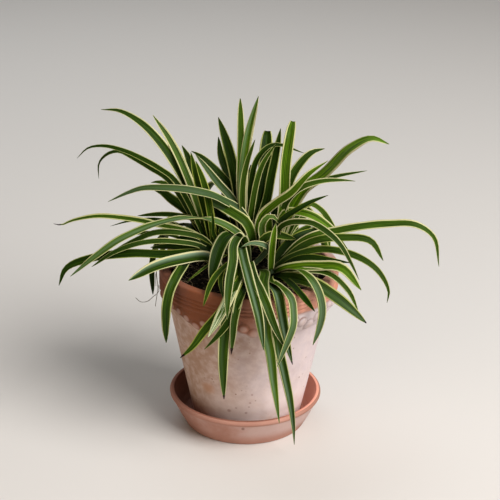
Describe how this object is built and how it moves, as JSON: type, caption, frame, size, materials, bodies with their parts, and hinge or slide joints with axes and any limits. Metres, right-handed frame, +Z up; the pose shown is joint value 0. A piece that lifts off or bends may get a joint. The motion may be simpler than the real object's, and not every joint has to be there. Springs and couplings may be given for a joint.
{
  "type": "potted spider plant",
  "caption": "Spider plant with arching cream-edged blades in a round terracotta pot with a swagged cove under its rim, standing in a terracotta saucer.",
  "frame": {"origin": "on the table under the pot's axis, in the plane of the saucer's flat underside", "axes": "+Z up along the pot's axis, -Y toward the viewer's side over which the longest blades hang, +X to the viewer's right"},
  "size_m": [0.3007, 0.2034, 0.2642],
  "materials": {
    "saucer_clay": "matte",
    "pot_clay": "matte",
    "soil": "matte",
    "leaf": "satin"
  },
  "bodies": {
    "root": {"saucer": "saucer_clay", "pot": "pot_clay", "soil": "soil", "rosette_back_left": "leaf", "rosette_back": "leaf", "rosette_right": "leaf", "rosette_front_right": "leaf", "rosette_front": "leaf", "rosette_left": "leaf"}
  },
  "joints": []
}
